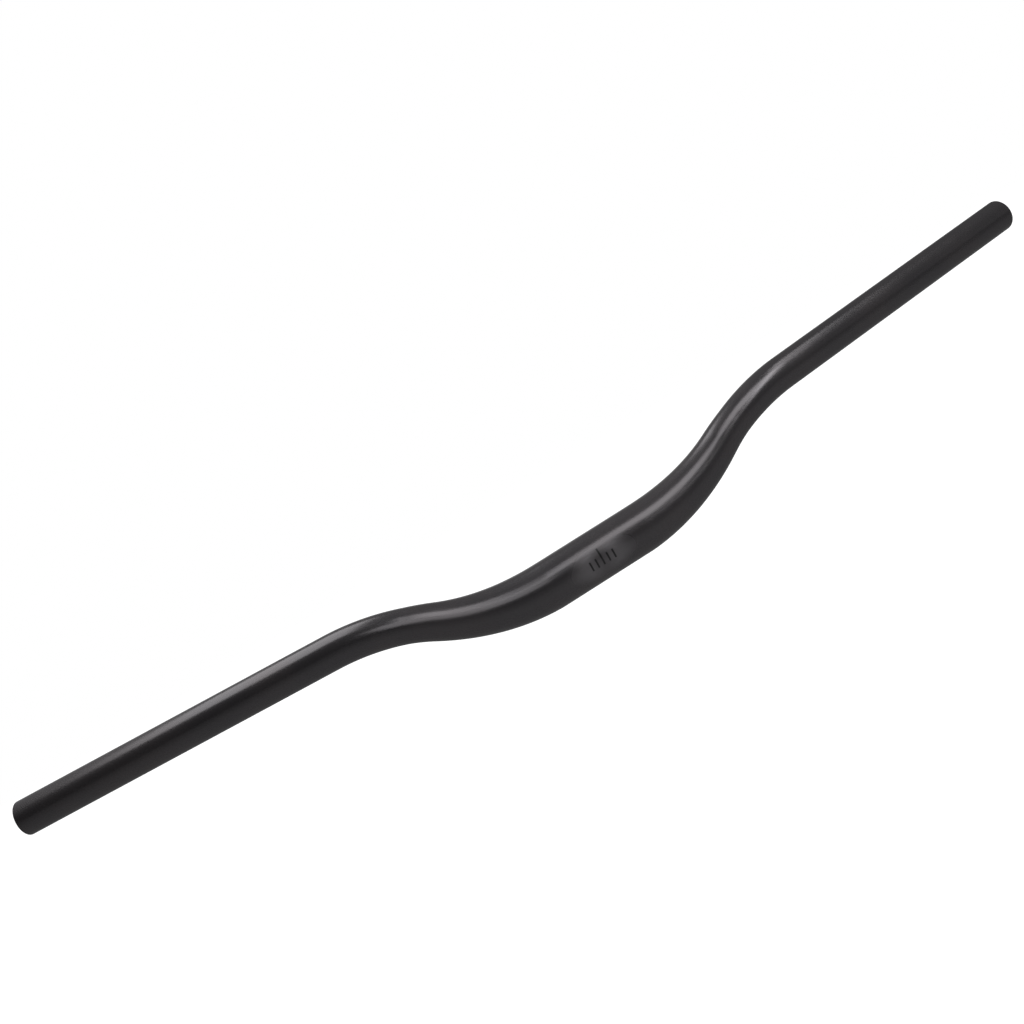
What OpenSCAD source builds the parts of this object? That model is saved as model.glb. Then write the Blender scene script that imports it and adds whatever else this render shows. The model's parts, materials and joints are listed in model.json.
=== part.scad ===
// Riser handlebar: one butted tube, drawn down from the middle to the grips and bent twice on each side.
// The stem holds the middle, whose centre is the origin. X runs along the bar, the bicycle's front is
// towards -Y, and +Z is up.

/* [Shape] */
// Width between the centres of the two ends
bar_width = 750; // [680:5:800]
// Angle at which the tube climbs between its lower and its upper bend, in degrees
rise_angle = 27.5; // [15:0.5:35]
// Angle by which each grip points back, in degrees
back_sweep = 9; // [4:0.5:12]
// Angle by which each grip points up, in degrees
up_sweep = 3; // [0:0.5:7]

/* [Bends] */
// Length of the straight middle, where the stem clamps
clamp_length = 60; // [46:1:80]
// Radius of each lower bend, on the tube's axis
lower_bend_r = 160; // [100:5:200]
// Radius of each upper bend, on the tube's axis
upper_bend_r = 145; // [100:5:200]

/* [Tube] */
// Outer diameter of the middle
clamp_d = 31.8; // [25.4:0.1:35]
// Outer diameter of each grip
grip_d = 22.2; // [20:0.1:24]
// Length of full diameter that runs on into each lower bend
shoulder_length = 4; // [0:1:20]
// Length along the axis over which the tube is drawn down
taper_length = 91; // [60:1:140]
// Wall of the middle
clamp_wall = 2.8; // [2:0.1:4]
// Wall of each grip
grip_wall = 2; // [1.6:0.1:3]

/* [Ends] */
// Radius of the rounded outer edge at each end
end_round = 1; // [0.4:0.1:1.4]
// Chamfer at the mouth of the bore at each end
mouth_chamfer = 0.4; // [0.2:0.1:0.8]

/* [Detail] */
// Number of sides round each bent length
sides = 40; // [24:4:80]
// Number of steps along each bent length
steps = 20; // [12:1:40]

/* [Hidden] */
$fn = 96;

// Length by which a bent length runs on along the round tube that it joins
overlap = 1;
// Step outwards from that tube's skins to those of the bent length, whose flats would else cut its circles
joint_step = 0.02;

clamp_r = clamp_d / 2;
grip_r = grip_d / 2;
bore_r = grip_r - grip_wall;

// Directions of the tube at its middle, on the climb and at the right grip
middle_dir = [1, 0, 0];
climb_dir = [cos(rise_angle), 0, sin(rise_angle)];
grip_dir = [cos(up_sweep) * cos(back_sweep), cos(up_sweep) * sin(back_sweep), sin(up_sweep)];

// Degrees turned over a length of arc, and length of the arc that turns from one direction to another
function degrees_of(length, r) = length / r * 180 / PI;
function arc_length(from, to, r) = acos(from * to) * PI / 180 * r;
// Direction at right angles to from, on the side of to
function inward(from, to) = let (v = to - (from * to) * from) v / norm(v);
// Place and direction on an arc that starts at a place and has turned by some degrees
function arc_point(start, from, to, r, turned) =
    start + r * (sin(turned) * from + (1 - cos(turned)) * inward(from, to));
function arc_dir(from, to, turned) = cos(turned) * from + sin(turned) * inward(from, to);

// Distances along the axis from the middle to the start of each bend and to the end of the last
lower_s = clamp_length / 2;
upper_s = lower_s + arc_length(middle_dir, climb_dir, lower_bend_r);
straight_s = upper_s + arc_length(climb_dir, grip_dir, upper_bend_r);
taper_s = lower_s + shoulder_length;
// The grip starts where both the bends and the taper have ended
grip_s = max(straight_s, taper_s + taper_length);

// Places of those bends on the axis
lower_at = lower_s * middle_dir;
upper_at = arc_point(lower_at, middle_dir, climb_dir, lower_bend_r, degrees_of(upper_s - lower_s, lower_bend_r));
straight_at = arc_point(upper_at, climb_dir, grip_dir, upper_bend_r,
    degrees_of(straight_s - upper_s, upper_bend_r));

// Place and direction of the axis at a distance from the middle
function axis_point(s) =
    s < lower_s ? s * middle_dir :
    s < upper_s ? arc_point(lower_at, middle_dir, climb_dir, lower_bend_r, degrees_of(s - lower_s, lower_bend_r)) :
    s < straight_s ? arc_point(upper_at, climb_dir, grip_dir, upper_bend_r, degrees_of(s - upper_s, upper_bend_r)) :
    straight_at + (s - straight_s) * grip_dir;
function axis_dir(s) =
    s < lower_s ? middle_dir :
    s < upper_s ? arc_dir(middle_dir, climb_dir, degrees_of(s - lower_s, lower_bend_r)) :
    s < straight_s ? arc_dir(climb_dir, grip_dir, degrees_of(s - upper_s, upper_bend_r)) :
    grip_dir;

grip_length = (bar_width / 2 - axis_point(grip_s).x) / grip_dir.x;

// Share of the taper that is done at a distance from the middle: half of it even, half of it eased at its ends
function drawn(s) = let (t = min(max((s - taper_s) / taper_length, 0), 1)) (t + t * t * (3 - 2 * t)) / 2;
function outer_r(s) = clamp_r + (grip_r - clamp_r) * drawn(s);
function wall(s) = clamp_wall + (grip_wall - clamp_wall) * drawn(s);

// Ring of points round the axis
function ring(s, r) =
    let (dir = axis_dir(s), side = cross([0, 1, 0], dir), u = side / norm(side), v = cross(dir, u))
    [for (k = [0 : sides - 1]) axis_point(s) + r * (cos(360 * k / sides) * u + sin(360 * k / sides) * v)];
// Rings whose flats lie the joint's step outside the wall's two skins
function outer_ring(s) = ring(s, (outer_r(s) + joint_step) / cos(180 / sides));
function inner_ring(s) = ring(s, (outer_r(s) - wall(s) + joint_step) / cos(180 / sides));

// Straight middle
module clamp_tube() {
    rotate([0, 90, 0])
        rotate_extrude()
            translate([clamp_r - clamp_wall, -clamp_length / 2])
                square([clamp_wall, clamp_length]);
}

// Tapered wall that follows both bends, lofted through pairs of rings
module bent_tube() {
    // No ring lies in the end plane of a round tube, where its polygon would meet the tube's circle
    first_s = lower_s + overlap;
    last_s = grip_s - overlap;
    stations = concat(
        [lower_s - overlap],
        [for (i = [0 : steps]) first_s + (last_s - first_s) * i / steps],
        [grip_s + overlap]
    );
    rings = len(stations);
    outer = [for (s = stations) each outer_ring(s)];
    inner = [for (s = stations) each inner_ring(s)];
    function at(i, k) = i * sides + k % sides;
    function inner_at(i, k) = len(outer) + at(i, k);
    last = rings - 1;
    polyhedron(
        points = concat(outer, inner),
        faces = concat(
            [for (i = [0 : last - 1]) for (k = [0 : sides - 1])
                [at(i, k), at(i + 1, k), at(i + 1, k + 1), at(i, k + 1)]],
            [for (i = [0 : last - 1]) for (k = [0 : sides - 1])
                [inner_at(i, k), inner_at(i, k + 1), inner_at(i + 1, k + 1), inner_at(i + 1, k)]],
            [for (k = [0 : sides - 1]) [at(0, k), at(0, k + 1), inner_at(0, k + 1), inner_at(0, k)]],
            [for (k = [0 : sides - 1])
                [at(last, k), inner_at(last, k), inner_at(last, k + 1), at(last, k + 1)]]
        )
    );
}

// Straight grip, open at its end
module grip_tube() {
    translate(axis_point(grip_s))
        rotate([0, 90 - up_sweep, back_sweep])
            rotate_extrude()
                polygon(concat(
                    [[bore_r, 0], [grip_r, 0]],
                    [for (a = [0 : 15 : 90])
                        [grip_r - end_round * (1 - cos(a)), grip_length - end_round * (1 - sin(a))]],
                    [[bore_r + mouth_chamfer, grip_length], [bore_r, grip_length - mouth_chamfer]]
                ));
}

// The whole tube, which is one piece
module handlebar() {
    color([0.17, 0.16, 0.17])
        union() {
            clamp_tube();
            for (side = [0, 1])
                mirror([side, 0, 0]) {
                    bent_tube();
                    grip_tube();
                }
        }
}

handlebar();
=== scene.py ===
import json
from math import acos, asin, atan2, ceil, cos, pi, radians, sin
from typing import NamedTuple

import bpy
from bpy.props import FloatProperty, FloatVectorProperty, IntProperty, PointerProperty
from bpy.types import Operator, Panel, PropertyGroup
from mathutils import Matrix, Vector


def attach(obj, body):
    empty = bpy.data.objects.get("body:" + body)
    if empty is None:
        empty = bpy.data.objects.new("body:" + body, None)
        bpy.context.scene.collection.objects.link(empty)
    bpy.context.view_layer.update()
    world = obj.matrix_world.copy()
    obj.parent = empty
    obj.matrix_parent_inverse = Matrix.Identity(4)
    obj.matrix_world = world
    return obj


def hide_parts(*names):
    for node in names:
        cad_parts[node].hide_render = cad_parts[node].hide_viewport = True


bl_info = {
    "name": "Riser Handlebar",
    "version": (1, 0, 0),
    "blender": (4, 5, 0),
    "location": "View3D > Sidebar > Handlebar",
    "description": "Dresses a packed riser handlebar in its satin black finish, in a plain studio",
    "category": "Add Mesh",
}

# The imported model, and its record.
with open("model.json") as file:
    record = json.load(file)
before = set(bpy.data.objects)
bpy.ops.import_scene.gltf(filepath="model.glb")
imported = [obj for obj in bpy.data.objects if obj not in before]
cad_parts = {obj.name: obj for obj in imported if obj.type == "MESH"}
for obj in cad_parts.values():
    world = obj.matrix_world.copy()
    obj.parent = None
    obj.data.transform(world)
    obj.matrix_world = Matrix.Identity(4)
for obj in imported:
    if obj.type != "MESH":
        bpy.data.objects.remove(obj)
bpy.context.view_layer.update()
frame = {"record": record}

BODY = "root"
NODE = "handlebar"
MM = 0.001

# The mounts give the tube's sizes where the stem, the grips and the end plugs sit.
MOUNTS = {mount["name"]: mount for mount in frame["record"]["mounts"]}
STEM = MOUNTS["stem_clamp"]
GRIP = MOUNTS["right_grip"]
BAR_END = MOUNTS["right_bar_end"]
END_PLACE = Vector(BAR_END["pos_m"])
END_DIRECTION = Vector(BAR_END["axis"]).normalized()


def mount_diameter(mount):
    """Diameter of a mount in metres."""
    return 2 * mount["dims"]["r_mm"] * MM


# Sizes and colours that a user would change


class BarSizes(PropertyGroup):
    """Sizes of the tube. What the record's mounts give comes from them."""

    width: FloatProperty(
        name="Width", description="Between the centres of the two ends",
        default=2 * END_PLACE.x, unit="LENGTH",
    )
    rise_angle: FloatProperty(
        name="Rise angle", description="Climb between the lower and the upper bend",
        default=radians(27.5), subtype="ANGLE",
    )
    back_sweep: FloatProperty(
        name="Back sweep", description="How far each grip points back",
        default=atan2(END_DIRECTION.y, END_DIRECTION.x), subtype="ANGLE",
    )
    up_sweep: FloatProperty(
        name="Up sweep", description="How far each grip points up",
        default=asin(END_DIRECTION.z), subtype="ANGLE",
    )
    clamp_length: FloatProperty(
        name="Clamp length", description="Straight middle, where the stem clamps",
        default=STEM["dims"]["length_mm"] * MM, unit="LENGTH",
    )
    lower_bend_radius: FloatProperty(
        name="Lower bend", description="Radius of each lower bend, on the tube's axis",
        default=160 * MM, unit="LENGTH",
    )
    upper_bend_radius: FloatProperty(
        name="Upper bend", description="Radius of each upper bend, on the tube's axis",
        default=145 * MM, unit="LENGTH",
    )
    clamp_diameter: FloatProperty(
        name="Clamp diameter", description="Outer diameter of the middle",
        default=mount_diameter(STEM), unit="LENGTH",
    )
    grip_diameter: FloatProperty(
        name="Grip diameter", description="Outer diameter of each grip",
        default=mount_diameter(GRIP), unit="LENGTH",
    )
    clamp_wall: FloatProperty(
        name="Clamp wall", description="Wall of the middle",
        default=2.8 * MM, unit="LENGTH",
    )
    grip_wall: FloatProperty(
        name="Grip wall", description="Wall of each grip",
        default=(mount_diameter(GRIP) - mount_diameter(BAR_END)) / 2, unit="LENGTH",
    )
    shoulder_length: FloatProperty(
        name="Shoulder", description="Full diameter that runs on into each lower bend",
        default=4 * MM, unit="LENGTH",
    )
    taper_length: FloatProperty(
        name="Taper", description="Length along the axis over which the tube is drawn down",
        default=91 * MM, unit="LENGTH",
    )
    end_round: FloatProperty(
        name="End rounding", description="Radius of the rounded outer edge at each end",
        default=1 * MM, unit="LENGTH",
    )
    mouth_chamfer: FloatProperty(
        name="Mouth chamfer", description="Chamfer at the mouth of the bore at each end",
        default=0.4 * MM, unit="LENGTH",
    )
    bend_step: FloatProperty(
        name="Step in the bends", description="Distance between the mesh's rings in the bends",
        default=1.5 * MM, unit="LENGTH",
    )
    straight_step: FloatProperty(
        name="Step in the straights", description="Distance between the mesh's rings elsewhere",
        default=10 * MM, unit="LENGTH",
    )
    segments: IntProperty(
        name="Segments", description="Faces round the tube", default=128, min=12,
    )


class BarFinish(PropertyGroup):
    """Colours and sizes of the finish."""

    coat_colour: FloatVectorProperty(
        name="Coat", description="Satin black of the outside",
        subtype="COLOR", default=(0.0415, 0.0390, 0.0420),
    )
    warm_colour: FloatVectorProperty(
        name="Warm coat", description="Slightly browner tint that drifts through the black",
        subtype="COLOR", default=(0.0460, 0.0420, 0.0445),
    )
    blasted_colour: FloatVectorProperty(
        name="Blasted patch", description="Paler grey at the front of the middle",
        subtype="COLOR", default=(0.0950, 0.0900, 0.0950),
    )
    scale_colour: FloatVectorProperty(
        name="Centring scale", description="Ink of the plain lines at the middle",
        subtype="COLOR", default=(0.0100, 0.0096, 0.0104),
    )
    # Paler colour of the ends' rounded edges: partly worn finish, partly a painted highlight.
    worn_edge_and_highlight_colour: FloatVectorProperty(
        name="Rubbed edge and painted highlight", description="Where the finish is thinnest, on the ends' edges",
        subtype="COLOR", default=(0.1600, 0.1550, 0.1570),
    )
    bore_colour: FloatVectorProperty(
        name="Bore", description="Duller finish inside the tube",
        subtype="COLOR", default=(0.0240, 0.0235, 0.0245),
    )
    patch_length: FloatProperty(
        name="Patch length", description="Length of the oval patch along the bar",
        default=52 * MM, unit="LENGTH",
    )
    patch_height: FloatProperty(
        name="Patch height", description="Height of the oval patch round the bar",
        default=26 * MM, unit="LENGTH",
    )
    patch_drop: FloatProperty(
        name="Patch drop", description="Distance of the patch's centre below the front line",
        default=3 * MM, unit="LENGTH",
    )
    tick_pitch: FloatProperty(
        name="Line pitch", description="Distance between the centring scale's lines",
        default=4 * MM, unit="LENGTH",
    )
    tick_width: FloatProperty(
        name="Line width", description="Width of each of those lines",
        default=1.1 * MM, unit="LENGTH",
    )
    tick_height: FloatProperty(
        name="Line height", description="Height of those lines beside the middle one",
        default=6 * MM, unit="LENGTH",
    )
    middle_tick_height: FloatProperty(
        name="Middle line height", description="Height of the centring scale's middle line",
        default=11 * MM, unit="LENGTH",
    )


class Studio(PropertyGroup):
    """The floor, the lamps and the camera."""

    floor_drop: FloatProperty(
        name="Floor drop", description="Height of the held bar over the floor",
        default=0.5, unit="LENGTH",
    )
    floor_size: FloatProperty(
        name="Floor size", description="Width of the floor", default=60.0, unit="LENGTH",
    )
    floor_colour: FloatVectorProperty(
        name="Floor", description="Pale floor", subtype="COLOR", default=(0.56, 0.56, 0.56),
    )
    front_lamp_power: FloatProperty(
        name="Front lamp", description="Soft lamp in front of, over and to the right of the bar",
        default=4.9, unit="POWER",
    )
    top_lamp_power: FloatProperty(
        name="Top lamp", description="Wide soft lamp over and behind the bar",
        default=9.5, unit="POWER",
    )
    side_lamp_power: FloatProperty(
        name="Side lamp", description="Long narrow lamp in front of and to the right of the bar",
        default=9.2, unit="POWER",
    )
    low_lamp_power: FloatProperty(
        name="Low lamp", description="Small soft lamp close to the left of the bar's middle",
        default=0.26, unit="POWER",
    )
    room_light: FloatProperty(
        name="Room light", description="Light that comes from everywhere", default=0.25,
    )
    camera_azimuth: FloatProperty(
        name="Camera azimuth", description="Turn from straight in front",
        default=radians(-7.45), subtype="ANGLE",
    )
    camera_elevation: FloatProperty(
        name="Camera elevation", description="Height over the horizontal",
        default=radians(1.94), subtype="ANGLE",
    )
    camera_roll: FloatProperty(
        name="Camera roll", description="Turn about the line of sight, against the clock",
        default=radians(-31.45), subtype="ANGLE",
    )
    camera_distance: FloatProperty(
        name="Camera distance", description="Distance from the point that it looks at",
        default=0.643, unit="LENGTH",
    )
    camera_lens: FloatProperty(
        name="Camera lens", description="Focal length on a sensor 36 mm wide",
        default=37.10, unit="CAMERA",
    )
    camera_target: FloatVectorProperty(
        name="Camera target", description="Point that the camera looks at",
        default=(-0.02979, 0.0, 0.05018), subtype="TRANSLATION",
    )


# The tube's axis and section


class Arc:
    """A stretch of the axis that turns from one direction to another about a fixed centre."""

    def __init__(self, start, start_s, old, new, radius):
        self.start, self.start_s, self.old, self.radius = start, start_s, old, radius
        self.inward = (new - old.dot(new) * old).normalized()
        self.end_s = start_s + radius * acos(old.dot(new))

    def at(self, s):
        """Place and direction at a distance s along the axis."""
        turn = (s - self.start_s) / self.radius
        place = self.start + self.radius * (sin(turn) * self.old + (1 - cos(turn)) * self.inward)
        return place, cos(turn) * self.old + sin(turn) * self.inward


class Line:
    """A straight stretch of the axis."""

    def __init__(self, start, start_s, direction):
        self.start, self.start_s, self.direction = start, start_s, direction

    def at(self, s):
        """Place and direction at a distance s along the axis."""
        return self.start + (s - self.start_s) * self.direction, self.direction


class Axis:
    """The bar's centreline, by the distance s along it: 0 in the middle, below 0 on the left."""

    def __init__(self, sizes):
        middle = Vector((1, 0, 0))
        climb = Vector((cos(sizes.rise_angle), 0, sin(sizes.rise_angle)))
        level = cos(sizes.up_sweep)
        grip = Vector((
            level * cos(sizes.back_sweep), level * sin(sizes.back_sweep), sin(sizes.up_sweep),
        ))
        self.bend_s = sizes.clamp_length / 2
        straight = Line(Vector((0, 0, 0)), 0, middle)
        bend_place = straight.at(self.bend_s)[0]
        lower = Arc(bend_place, self.bend_s, middle, climb, sizes.lower_bend_radius)
        upper = Arc(lower.at(lower.end_s)[0], lower.end_s, climb, grip, sizes.upper_bend_radius)
        self.last = Line(upper.at(upper.end_s)[0], upper.end_s, grip)
        self.parts = [(self.bend_s, straight), (lower.end_s, lower), (upper.end_s, upper)]
        self.straight_s = upper.end_s
        self.end_s = upper.end_s + (sizes.width / 2 - self.last.start.x) / grip.x

    def at(self, s):
        """Place and direction at s. The left side mirrors the right."""
        part = next((part for end, part in self.parts if abs(s) < end), self.last)
        place, direction = part.at(abs(s))
        if s < 0:
            place = Vector((-place.x, place.y, place.z))
            direction = Vector((direction.x, -direction.y, -direction.z))
        return place, direction


def drawn_share(sizes, s):
    """Share of the drawing down that is done at s: half of it even, half eased at its ends."""
    start = sizes.clamp_length / 2 + sizes.shoulder_length
    t = min(max((abs(s) - start) / sizes.taper_length, 0), 1)
    return (t + t * t * (3 - 2 * t)) / 2


def outer_radius(sizes, s):
    """Radius of the outside at s."""
    return (
        sizes.clamp_diameter
        + (sizes.grip_diameter - sizes.clamp_diameter) * drawn_share(sizes, s)
    ) / 2


def inner_radius(sizes, s):
    """Radius of the bore at s."""
    wall = sizes.clamp_wall + (sizes.grip_wall - sizes.clamp_wall) * drawn_share(sizes, s)
    return outer_radius(sizes, s) - wall


def spread(low, high, step):
    """Evenly spaced values from low up to but without high."""
    count = max(1, ceil((high - low) / step))
    return [low + (high - low) * i / count for i in range(count)]


def skin_stations(sizes, axis, reach):
    """Values of s at which a skin has rings, from -reach to reach: close together in the bends."""
    taper_s = sizes.clamp_length / 2 + sizes.shoulder_length + sizes.taper_length
    bent_s = max(axis.straight_s, taper_s)
    return (
        spread(-reach, -bent_s, sizes.straight_step)
        + spread(-bent_s, -axis.bend_s, sizes.bend_step)
        + spread(-axis.bend_s, axis.bend_s, sizes.straight_step)
        + spread(axis.bend_s, bent_s, sizes.bend_step)
        + spread(bent_s, reach, sizes.straight_step)
        + [reach]
    )


ROUND_STEPS = 8


def end_rounding(sizes, axis):
    """(s, radius) down the rounded outer edge of the right end, to its flat face."""
    rounding, grip = sizes.end_round, sizes.grip_diameter / 2
    steps = [pi / 2 * i / ROUND_STEPS for i in range(1, ROUND_STEPS + 1)]
    return [
        (axis.end_s - rounding * (1 - sin(a)), grip - rounding * (1 - cos(a))) for a in steps
    ]


def tube_section(sizes, axis):
    """Lists of (s, radius) once round the wall's section: outside, right end, bore, left end."""
    outer_reach = axis.end_s - sizes.end_round
    bore_reach = axis.end_s - sizes.mouth_chamfer
    outer = [(s, outer_radius(sizes, s)) for s in skin_stations(sizes, axis, outer_reach)]
    bore = [(s, inner_radius(sizes, s)) for s in skin_stations(sizes, axis, bore_reach)]
    mouth = (axis.end_s, bore[0][1] + sizes.mouth_chamfer)
    right_end = end_rounding(sizes, axis) + [mouth]
    left_end = [(-s, r) for s, r in reversed(right_end)]
    return outer, right_end, list(reversed(bore)), left_end


def ring(axis, s, radius, segments):
    """Points round the axis at s, and where each lies round the tube: (share front, share up)."""
    place, direction = axis.at(s)
    up = direction.cross(Vector((0, 1, 0))).normalized()
    front = direction.cross(up).normalized()
    turns = [2 * pi * k / segments for k in range(segments)]
    points = [place + radius * (cos(a) * front + sin(a) * up) for a in turns]
    return points, [(cos(a), sin(a)) for a in turns]


TUBE_PLACE = "tube_place"
SHARP_ANGLE = radians(30)
# How far the axis may end from the place that the record gives for it
END_MISS = 0.5 * MM


def tube_mesh(sizes):
    """Closed mesh of the whole wall. The bore's faces take the second material."""
    axis = Axis(sizes)
    miss = (axis.at(axis.end_s)[0] - END_PLACE).length
    if miss > END_MISS:
        raise RuntimeError(f"the axis ends {miss / MM:.2f} mm from the bar end's mount")
    outer, right_end, bore, left_end = tube_section(sizes, axis)
    section = outer + right_end + bore + left_end
    first_bore = len(outer) + len(right_end)
    points, places = [], []
    for s, radius in section:
        ring_points, ring_places = ring(axis, s, radius, sizes.segments)
        points += ring_points
        places += [(s, front, up) for front, up in ring_places]
    faces, materials = [], []
    for i in range(len(section)):
        here, there = i * sizes.segments, (i + 1) % len(section) * sizes.segments
        for k in range(sizes.segments):
            after = (k + 1) % sizes.segments
            faces.append((here + k, here + after, there + after, there + k))
            materials.append(int(first_bore <= i < first_bore + len(bore) - 1))
    mesh = bpy.data.meshes.new("handlebar_tube")
    mesh.from_pydata(points, [], faces)
    mesh.polygons.foreach_set("material_index", materials)
    mesh.shade_smooth()
    mesh.set_sharp_from_angle(angle=SHARP_ANGLE)
    attribute = mesh.attributes.new(TUBE_PLACE, "FLOAT_VECTOR", "POINT")
    attribute.data.foreach_set("vector", [value for place in places for value in place])
    mesh.validate()
    return mesh


# Finishes

# The Mix node's sockets for colours, which follow those for numbers and vectors
MIX_A, MIX_B, MIX_RESULT = 6, 7, 2


class Nodes:
    """Short calls that add nodes to one tree."""

    def __init__(self, tree):
        self.tree = tree

    def add(self, kind, values=None, **settings):
        """A node with its settings, whose sockets are set from values or linked to them."""
        node = self.tree.nodes.new(kind)
        for name, value in settings.items():
            setattr(node, name, value)
        for key, value in (values or {}).items():
            self.put(value, node.inputs[key])
        return node

    def put(self, value, socket):
        """Links a socket to a value that is an output, or else sets it."""
        if isinstance(value, bpy.types.NodeSocket):
            self.tree.links.new(value, socket)
        else:
            socket.default_value = value

    def math(self, operation, *values):
        """A sum on numbers."""
        node = self.add("ShaderNodeMath", dict(enumerate(values)), operation=operation)
        return node.outputs[0]

    def vector(self, operation, *values):
        """A sum on vectors. A dot product or length comes out as a number."""
        node = self.add("ShaderNodeVectorMath", dict(enumerate(values)), operation=operation)
        return node.outputs["Value" if operation in ("DOT_PRODUCT", "LENGTH") else "Vector"]

    def smooth(self, value, low, high, to_low=0.0, to_high=1.0):
        """A smooth ramp of value from low to high."""
        limits = {"From Min": low, "From Max": high, "To Min": to_low, "To Max": to_high}
        node = self.add(
            "ShaderNodeMapRange", {"Value": value, **limits}, interpolation_type="SMOOTHSTEP",
        )
        return node.outputs["Result"]

    def mix_colour(self, factor, a, b):
        """Colour a where factor is 0, b where it is 1."""
        node = self.add("ShaderNodeMix", data_type="RGBA")
        self.put(factor, node.inputs["Factor"])
        self.put(a, node.inputs[MIX_A])
        self.put(b, node.inputs[MIX_B])
        return node.outputs[MIX_RESULT]

    def noise(self, vector, scale, detail=2.0, roughness=0.5):
        """Noise from 0 to 1 over a vector."""
        node = self.add(
            "ShaderNodeTexNoise",
            {"Vector": vector, "Scale": scale, "Detail": detail, "Roughness": roughness},
        )
        return node.outputs["Fac"]


def rgba(colour):
    """A colour property as four numbers."""
    return (*colour, 1.0)


def new_group(name, inputs, outputs):
    """An empty shader node group with float sockets, and its input and output nodes."""
    tree = bpy.data.node_groups.new(name, "ShaderNodeTree")
    for socket, kind in inputs.items():
        tree.interface.new_socket(name=socket, in_out="INPUT", socket_type=kind)
    for socket in outputs:
        tree.interface.new_socket(name=socket, in_out="OUTPUT", socket_type="NodeSocketFloat")
    nodes = Nodes(tree)
    return nodes, nodes.add("NodeGroupInput").outputs, nodes.add("NodeGroupOutput")


# Scales of the waviness and of the slow drift, as shares of the pits' scale
WAVE_SCALE_SHARE = 0.22
DRIFT_SCALE_SHARE = 0.012
# Values of the drift's noise between which the mottle goes from 0 to 1
DRIFT_LIMITS = (0.35, 0.65)


def metal_grain_group():
    """Grain of a blasted and then coated metal: fine pits over a slight waviness."""
    nodes, given, output = new_group(
        "Metal grain",
        {
            "Vector": "NodeSocketVector",
            "Pit Scale": "NodeSocketFloat",
            "Wave Share": "NodeSocketFloat",
        },
        ["Height", "Mottle"],
    )
    pits = nodes.noise(given["Vector"], given["Pit Scale"], detail=2.0, roughness=0.6)
    wave_scale = nodes.math("MULTIPLY", given["Pit Scale"], WAVE_SCALE_SHARE)
    waves = nodes.noise(given["Vector"], wave_scale, detail=1.0)
    height = nodes.math("MULTIPLY_ADD", waves, given["Wave Share"], pits)
    nodes.put(height, output.inputs["Height"])
    drift_scale = nodes.math("MULTIPLY", given["Pit Scale"], DRIFT_SCALE_SHARE)
    drift = nodes.noise(given["Vector"], drift_scale, detail=3.0, roughness=0.55)
    nodes.put(nodes.smooth(drift, *DRIFT_LIMITS), output.inputs["Mottle"])
    return nodes.tree


def new_material(name):
    """A material with an empty tree, its Nodes, its Principled shader and Object coordinates."""
    material = bpy.data.materials.new(name)
    material.use_nodes = True
    material.node_tree.nodes.clear()
    nodes = Nodes(material.node_tree)
    shader = nodes.add("ShaderNodeBsdfPrincipled")
    output = nodes.add("ShaderNodeOutputMaterial")
    nodes.put(shader.outputs["BSDF"], output.inputs["Surface"])
    place = nodes.add("ShaderNodeTexCoord").outputs["Object"]
    return material, nodes, shader, place


def grain_in(nodes, grain, vector, pit_scale, wave_share):
    """Places the grain group in a material and returns its outputs."""
    group = nodes.add("ShaderNodeGroup", node_tree=grain)
    for name, value in (("Vector", vector), ("Pit Scale", pit_scale), ("Wave Share", wave_share)):
        nodes.put(value, group.inputs[name])
    return group.outputs


def place_on_tube(nodes):
    """Outputs for the distance along the tube, and how far front and up a point lies round it."""
    attribute = nodes.add(
        "ShaderNodeAttribute", attribute_type="GEOMETRY", attribute_name=TUBE_PLACE,
    )
    parts = nodes.add("ShaderNodeSeparateXYZ", {"Vector": attribute.outputs["Vector"]})
    return parts.outputs["X"], parts.outputs["Y"], parts.outputs["Z"]


def front_height(nodes, front, up, radius):
    """Distance round the skin from its front line, upwards."""
    angle = nodes.math("ARCTAN2", up, front)
    return nodes.math("MULTIPLY", angle, radius)


# Share of the oval's size at which it starts to fade outwards, and how strong it is at its middle
PATCH_FADE = 0.4
PATCH_MIDDLE = 0.4


def patch_mask(nodes, finish, along, height):
    """Soft oval of the paler patch, weaker at its middle than on either side."""
    across = nodes.math("DIVIDE", along, finish.patch_length / 2)
    centred = nodes.math("ADD", height, finish.patch_drop)
    upwards = nodes.math("DIVIDE", centred, finish.patch_height / 2)
    square = nodes.math("MULTIPLY_ADD", upwards, upwards, nodes.math("MULTIPLY", across, across))
    oval = nodes.smooth(nodes.math("SQRT", square), PATCH_FADE, 1.0, 1.0, 0.0)
    sides = nodes.smooth(nodes.math("ABSOLUTE", across), 0.0, PATCH_FADE, PATCH_MIDDLE, 1.0)
    return nodes.math("MULTIPLY", oval, sides)


SCALE_LINES = 5
# Half the width over which the ink fades at a line's edges
INK_EDGE = 0.08 * MM


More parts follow.
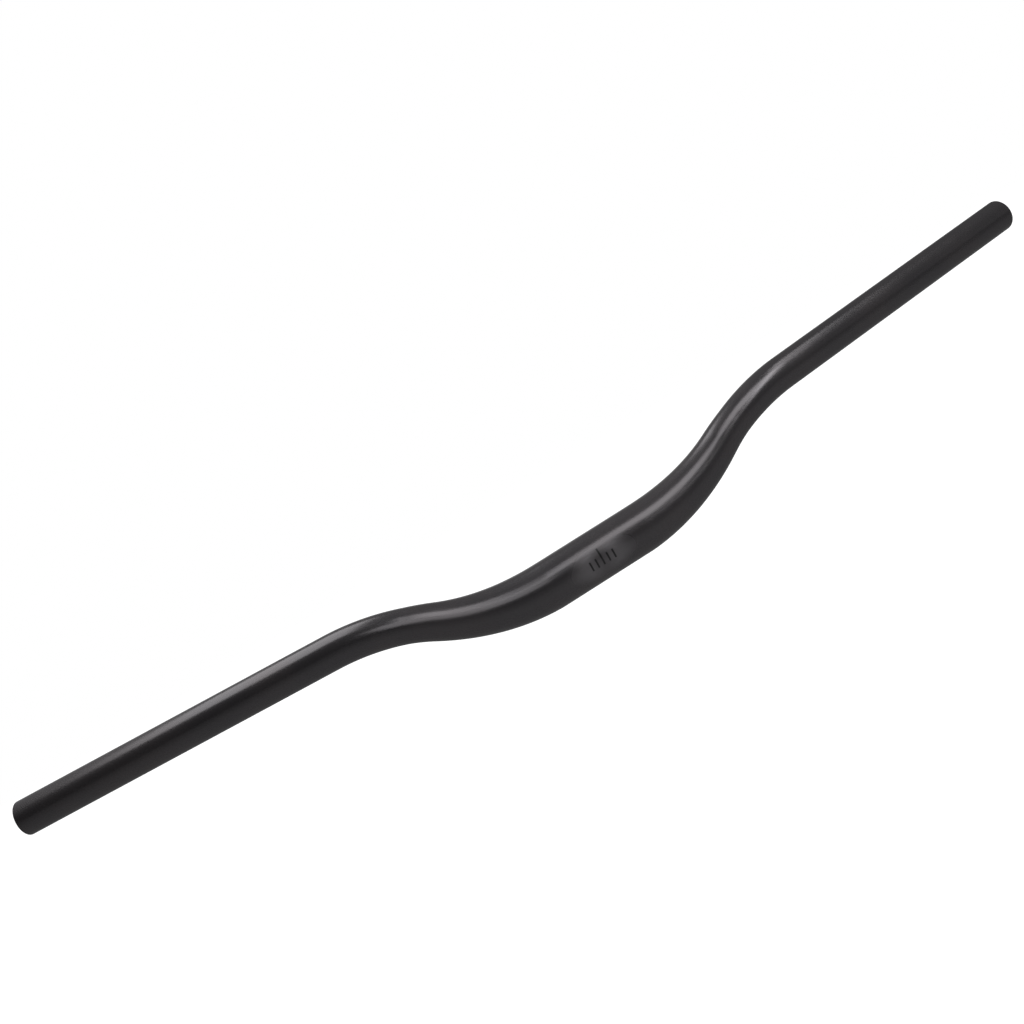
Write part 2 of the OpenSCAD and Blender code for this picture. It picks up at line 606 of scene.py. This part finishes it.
def scale_mask(nodes, finish, along, height):
    """Plain lines of the centring scale, which stand on one base line."""
    count = nodes.math("ROUND", nodes.math("DIVIDE", along, finish.tick_pitch))
    centre = nodes.math("MULTIPLY", count, finish.tick_pitch)
    off = nodes.math("ABSOLUTE", nodes.math("SUBTRACT", along, centre))
    half = finish.tick_width / 2
    across = nodes.smooth(off, half - INK_EDGE, half + INK_EDGE, 1.0, 0.0)
    number = nodes.math("ABSOLUTE", count)
    held = nodes.math("LESS_THAN", number, SCALE_LINES / 2)
    middle = nodes.math("LESS_THAN", number, 0.5)
    base = -finish.middle_tick_height / 2
    longer = finish.middle_tick_height - finish.tick_height
    top = nodes.math("MULTIPLY_ADD", middle, longer, base + finish.tick_height)
    under_top = nodes.math("SUBTRACT", top, height)
    lower = nodes.smooth(height, base - INK_EDGE, base + INK_EDGE)
    upper = nodes.smooth(under_top, -INK_EDGE, INK_EDGE)
    inside = nodes.math("MULTIPLY", lower, upper)
    return nodes.math("MULTIPLY", nodes.math("MULTIPLY", across, held), inside)


# Paler rim on each end's rounded edge, partly worn finish and partly a painted highlight: scale and
# limits of its unevenness
RIM_WEAR_AND_HIGHLIGHT_SCALE = 700.0
RIM_WEAR_AND_HIGHLIGHT_LIMITS = (0.35, 0.75)
# Share of the rounding at which the paler rim (worn finish and painted highlight) is strongest, and
# how strong it is on the flat face
RIM_WEAR_AND_HIGHLIGHT_PEAK = 0.25
RIM_WEAR_AND_HIGHLIGHT_ON_FACE = 0.25


def worn_edge_and_highlight_mask(nodes, sizes, along, place):
    """Where the finish has thinned and a highlight is painted in: unevenly round each end's edge,
    and faintly on its face.
    """
    from_end = nodes.math("SUBTRACT", Axis(sizes).end_s, nodes.math("ABSOLUTE", along))
    peak = sizes.end_round * RIM_WEAR_AND_HIGHLIGHT_PEAK
    rising = nodes.smooth(from_end, 0.0, peak, RIM_WEAR_AND_HIGHLIGHT_ON_FACE, 1.0)
    falling = nodes.smooth(from_end, peak, sizes.end_round, 1.0, 0.0)
    uneven = nodes.smooth(nodes.noise(place, RIM_WEAR_AND_HIGHLIGHT_SCALE, detail=4.0), *RIM_WEAR_AND_HIGHLIGHT_LIMITS)
    return nodes.math("MULTIPLY", nodes.math("MULTIPLY", rising, falling), uneven)


COAT_PIT_SCALE = 2200.0
COAT_WAVE_SHARE = 1.2
GRAIN_DEPTH = 0.0035 * MM
# Share of the metal that shows through the coat, and how its gloss weakens at glancing angles
COAT_METAL = 0.6
GLANCING_TINT = (0.5, 0.5, 0.5, 1.0)
COAT_SPECULAR = 1.0
COAT_ROUGHNESS = (0.22, 0.26)
PATCH_ROUGHNESS = 0.42
INK_ROUGHNESS = 0.30


def coat_material(sizes, finish, grain):
    """Satin black outside, with the pale patch and the centring scale at its middle."""
    material, nodes, shader, place = new_material("satin_black_coat")
    along, front, up = place_on_tube(nodes)
    height = front_height(nodes, front, up, sizes.clamp_diameter / 2)
    grained = grain_in(nodes, grain, place, COAT_PIT_SCALE, COAT_WAVE_SHARE)
    patch = patch_mask(nodes, finish, along, height)
    ink = scale_mask(nodes, finish, along, height)
    worn_rim_and_highlight = worn_edge_and_highlight_mask(nodes, sizes, along, place)
    colour = rgba(finish.coat_colour)
    for mask, over in (
        (grained["Mottle"], finish.warm_colour),
        (patch, finish.blasted_colour),
        # Paler rim on the ends' edges: worn finish with a painted highlight
        (worn_rim_and_highlight, finish.worn_edge_and_highlight_colour),
        (ink, finish.scale_colour),
    ):
        colour = nodes.mix_colour(mask, colour, rgba(over))
    nodes.put(colour, shader.inputs["Base Color"])
    rough = nodes.smooth(grained["Mottle"], 0.0, 1.0, *COAT_ROUGHNESS)
    rougher = nodes.math("MULTIPLY", patch, PATCH_ROUGHNESS - COAT_ROUGHNESS[0])
    rough = nodes.math("ADD", rough, rougher)
    inked = nodes.math("MULTIPLY", ink, nodes.math("SUBTRACT", INK_ROUGHNESS, rough))
    nodes.put(nodes.math("ADD", rough, inked), shader.inputs["Roughness"])
    shader.inputs["Metallic"].default_value = COAT_METAL
    shader.inputs["Specular Tint"].default_value = GLANCING_TINT
    shader.inputs["Specular IOR Level"].default_value = COAT_SPECULAR
    bump = nodes.add("ShaderNodeBump", {"Height": grained["Height"], "Distance": GRAIN_DEPTH})
    nodes.put(bump.outputs["Normal"], shader.inputs["Normal"])
    return material


BORE_PIT_SCALE = 1500.0
BORE_WAVE_SHARE = 0.6
# Drawn lines: what a metre of length counts beside the shares front and up, which keeps them long,
# the scale of their noise, and its values between which a line goes from faint to full
LINE_STRETCH = 6.0
LINE_SCALE = 28.0
LINE_LIMITS = (0.3, 0.7)
LINE_DEPTH = 0.02 * MM
# Height of the grain as a share of that of the lines
BORE_GRAIN_SHARE = 0.15
BORE_ROUGHNESS = (0.42, 0.58)


def bore_material(finish, grain):
    """Duller bore, with the faint lengthwise lines of a drawn tube."""
    material, nodes, shader, place = new_material("drawn_bore")
    along, front, up = place_on_tube(nodes)
    stretched = nodes.add(
        "ShaderNodeCombineXYZ",
        {"X": nodes.math("MULTIPLY", along, LINE_STRETCH), "Y": front, "Z": up},
    )
    lines = nodes.noise(stretched.outputs["Vector"], LINE_SCALE, detail=4.0, roughness=0.65)
    grained = grain_in(nodes, grain, place, BORE_PIT_SCALE, BORE_WAVE_SHARE)
    streaks = nodes.smooth(lines, *LINE_LIMITS)
    colour = nodes.mix_colour(streaks, rgba(finish.coat_colour), rgba(finish.bore_colour))
    nodes.put(colour, shader.inputs["Base Color"])
    nodes.put(nodes.smooth(lines, *LINE_LIMITS, *BORE_ROUGHNESS), shader.inputs["Roughness"])
    height = nodes.math("MULTIPLY_ADD", grained["Height"], BORE_GRAIN_SHARE, lines)
    bump = nodes.add("ShaderNodeBump", {"Height": height, "Distance": LINE_DEPTH})
    nodes.put(bump.outputs["Normal"], shader.inputs["Normal"])
    return material


# Studio

WHITE = (1.0, 1.0, 1.0, 1.0)
FLOOR_ROUGHNESS = 0.9
# Distances from the bar over which the floor fades to white to the camera, and how far it is lifted
# towards white under the bar
SHOWN_FADE = (0.3, 1.6)
NEAR_LIFT = 0.52
# Distances behind the bar over which the floor fades to white in the bar's gloss
GLOSS_FADE = (1.5, 4.0)
# Directions over which the room turns white in the bar's gloss, as shares of straight back
GLOSS_ROOM = (0.6, 1.0)


def seen_rays(nodes):
    """Outputs that are 1 for what the camera sees, and for what the bar's gloss shows."""
    rays = nodes.add("ShaderNodeLightPath").outputs
    mirrored = nodes.math("MAXIMUM", rays["Is Glossy Ray"], rays["Is Transmission Ray"])
    return rays["Is Camera Ray"], mirrored


def floor_material(studio):
    """Pale floor that keeps the bar's shadow and fades to the white background far away."""
    material, nodes, shader, place = new_material("pale_floor")
    shader.inputs["Base Color"].default_value = rgba(studio.floor_colour)
    shader.inputs["Roughness"].default_value = FLOOR_ROUGHNESS
    shader.inputs["Specular IOR Level"].default_value = 0.0
    shown, mirrored = seen_rays(nodes)
    distance = nodes.vector("LENGTH", place)
    depth = nodes.add("ShaderNodeSeparateXYZ", {"Vector": place}).outputs["Y"]
    to_camera = nodes.math("MULTIPLY", shown, nodes.smooth(distance, *SHOWN_FADE, NEAR_LIFT, 1.0))
    to_gloss = nodes.math("MULTIPLY", mirrored, nodes.smooth(depth, *GLOSS_FADE))
    shader.inputs["Emission Color"].default_value = WHITE
    nodes.put(nodes.math("MAXIMUM", to_camera, to_gloss), shader.inputs["Emission Strength"])
    return material


def make_floor(studio):
    """Square floor under the held bar."""
    half, drop = studio.floor_size / 2, -studio.floor_drop
    corners = [(-half, -half, drop), (half, -half, drop), (half, half, drop), (-half, half, drop)]
    mesh = bpy.data.meshes.new("floor")
    mesh.from_pydata(corners, [], [(0, 1, 2, 3)])
    mesh.materials.append(floor_material(studio))
    floor = bpy.data.objects.new("floor", mesh)
    bpy.context.scene.collection.objects.link(floor)


# How the room's light changes with a direction's x, y and z, with its xy, yz and zx, and with its
# x, y and z squared
ROOM_SLOPE = (-0.029, 0.152, -0.130)
ROOM_TWIST = (-0.49, 0.225, -0.13)
ROOM_CROWN = (0.069, -0.069, 0.396)


def light_room(studio):
    """Soft, uneven light from all round, white to the camera and far behind in the gloss."""
    world = bpy.data.worlds.new("soft_room")
    bpy.context.scene.world = world
    world.use_nodes = True
    world.node_tree.nodes.clear()
    nodes = Nodes(world.node_tree)
    towards = nodes.add("ShaderNodeTexCoord").outputs["Generated"]
    x, y, z = nodes.add("ShaderNodeSeparateXYZ", {"Vector": towards}).outputs
    turned = nodes.add("ShaderNodeCombineXYZ", {"X": y, "Y": z, "Z": x}).outputs["Vector"]
    soft = nodes.math("ADD", studio.room_light, nodes.vector("DOT_PRODUCT", towards, ROOM_SLOPE))
    for parts, shares in ((turned, ROOM_TWIST), (towards, ROOM_CROWN)):
        products = nodes.vector("MULTIPLY", towards, parts)
        soft = nodes.math("ADD", soft, nodes.vector("DOT_PRODUCT", products, shares))
    soft = nodes.math("MAXIMUM", soft, 0.0)
    shown, mirrored = seen_rays(nodes)
    behind = nodes.math("MULTIPLY", mirrored, nodes.smooth(y, *GLOSS_ROOM))
    strength = nodes.math("MAXIMUM", soft, nodes.math("MAXIMUM", shown, behind))
    background = nodes.add("ShaderNodeBackground", {"Color": WHITE, "Strength": strength})
    output = nodes.add("ShaderNodeOutputWorld")
    nodes.put(background.outputs["Background"], output.inputs["Surface"])


class Lamp(NamedTuple):
    """Where a soft box stands, and its size. Azimuth 0 is in front, and turns towards +X."""

    azimuth: float
    elevation: float
    distance: float
    roll: float
    width: float
    height: float


LAMPS = {
    "front_lamp": Lamp(radians(29.8), radians(43.0), 1.082, radians(-34.0), 0.656, 0.50),
    "top_lamp": Lamp(radians(-107.7), radians(71.9), 1.214, radians(1.7), 1.188, 0.648),
    "side_lamp": Lamp(radians(44.9), radians(38.7), 1.765, radians(49.2), 2.122, 0.22),
    "low_lamp": Lamp(radians(-13.8), radians(29.4), 0.398, radians(14.9), 0.180, 0.158),
}


def add_lamp(name, lamp, power):
    """Soft box that faces the bar's middle."""
    level = cos(lamp.elevation)
    away = Vector((level * sin(lamp.azimuth), -level * cos(lamp.azimuth), sin(lamp.elevation)))
    light = bpy.data.lights.new(name, "AREA")
    light.shape = "RECTANGLE"
    light.size, light.size_y, light.energy = lamp.width, lamp.height, power
    holder = bpy.data.objects.new(name, light)
    holder.visible_camera = False
    turned = (-away).to_track_quat("-Z", "Y").to_matrix() @ Matrix.Rotation(lamp.roll, 3, "Z")
    holder.matrix_world = Matrix.Translation(away * lamp.distance) @ turned.to_4x4()
    bpy.context.scene.collection.objects.link(holder)


SENSOR_WIDTH = 36.0
CLIP = (0.01, 200.0)


def add_camera(studio):
    """Camera at the photograph's angle."""
    azimuth, elevation = studio.camera_azimuth, studio.camera_elevation
    level = cos(elevation)
    back = Vector((level * sin(azimuth), -level * cos(azimuth), sin(elevation)))
    right = Vector((cos(azimuth), sin(azimuth), 0))
    up = back.cross(right)
    turned = Matrix((right, up, back)).transposed() @ Matrix.Rotation(studio.camera_roll, 3, "Z")
    lens = bpy.data.cameras.new("camera")
    lens.lens, lens.sensor_width = studio.camera_lens, SENSOR_WIDTH
    lens.clip_start, lens.clip_end = CLIP
    camera = bpy.data.objects.new("camera", lens)
    place = Vector(studio.camera_target) + back * studio.camera_distance
    camera.matrix_world = Matrix.Translation(place) @ turned.to_4x4()
    bpy.context.scene.collection.objects.link(camera)
    bpy.context.scene.camera = camera


# Operators and panel


class HANDLEBAR_OT_tube(Operator):
    """Builds the bent, butted tube with its coat and bore"""

    bl_idname = "handlebar.tube"
    bl_label = "Build Tube"

    def execute(self, context):
        scene = context.scene
        sizes, finish = scene.bar_sizes, scene.bar_finish
        grain = metal_grain_group()
        mesh = tube_mesh(sizes)
        mesh.materials.append(coat_material(sizes, finish, grain))
        mesh.materials.append(bore_material(finish, grain))
        tube = bpy.data.objects.new("handlebar_tube", mesh)
        scene.collection.objects.link(tube)
        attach(tube, BODY)
        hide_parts(NODE)
        return {"FINISHED"}


class HANDLEBAR_OT_stage(Operator):
    """Builds the floor, the lamps, the room light and the camera"""

    bl_idname = "handlebar.stage"
    bl_label = "Build Stage"

    def execute(self, context):
        studio = context.scene.bar_studio
        make_floor(studio)
        light_room(studio)
        for name, lamp in LAMPS.items():
            add_lamp(name, lamp, getattr(studio, f"{name}_power"))
        add_camera(studio)
        context.scene.view_settings.view_transform = "Standard"
        return {"FINISHED"}


class HANDLEBAR_PT_sidebar(Panel):
    """Lists the steps that build the handlebar"""

    bl_idname = "HANDLEBAR_PT_sidebar"
    bl_label = "Riser Handlebar"
    bl_space_type = "VIEW_3D"
    bl_region_type = "UI"
    bl_category = "Handlebar"

    def draw(self, context):
        for title, settings, operator in (
            ("Sizes", context.scene.bar_sizes, None),
            ("Finish", context.scene.bar_finish, HANDLEBAR_OT_tube),
            ("Studio", context.scene.bar_studio, HANDLEBAR_OT_stage),
        ):
            box = self.layout.box()
            box.label(text=title)
            for name in settings.__annotations__:
                box.prop(settings, name)
            if operator:
                box.operator(operator.bl_idname)


SETTINGS = {"bar_sizes": BarSizes, "bar_finish": BarFinish, "bar_studio": Studio}
CLASSES = (*SETTINGS.values(), HANDLEBAR_OT_tube, HANDLEBAR_OT_stage, HANDLEBAR_PT_sidebar)


def register():
    for cls in CLASSES:
        bpy.utils.register_class(cls)
    for name, settings in SETTINGS.items():
        setattr(bpy.types.Scene, name, PointerProperty(type=settings))


def unregister():
    for name in SETTINGS:
        delattr(bpy.types.Scene, name)
    for cls in reversed(CLASSES):
        bpy.utils.unregister_class(cls)


def main():
    register()
    bpy.ops.handlebar.tube()
    bpy.ops.handlebar.stage()


if __name__ == "__main__":
    main()
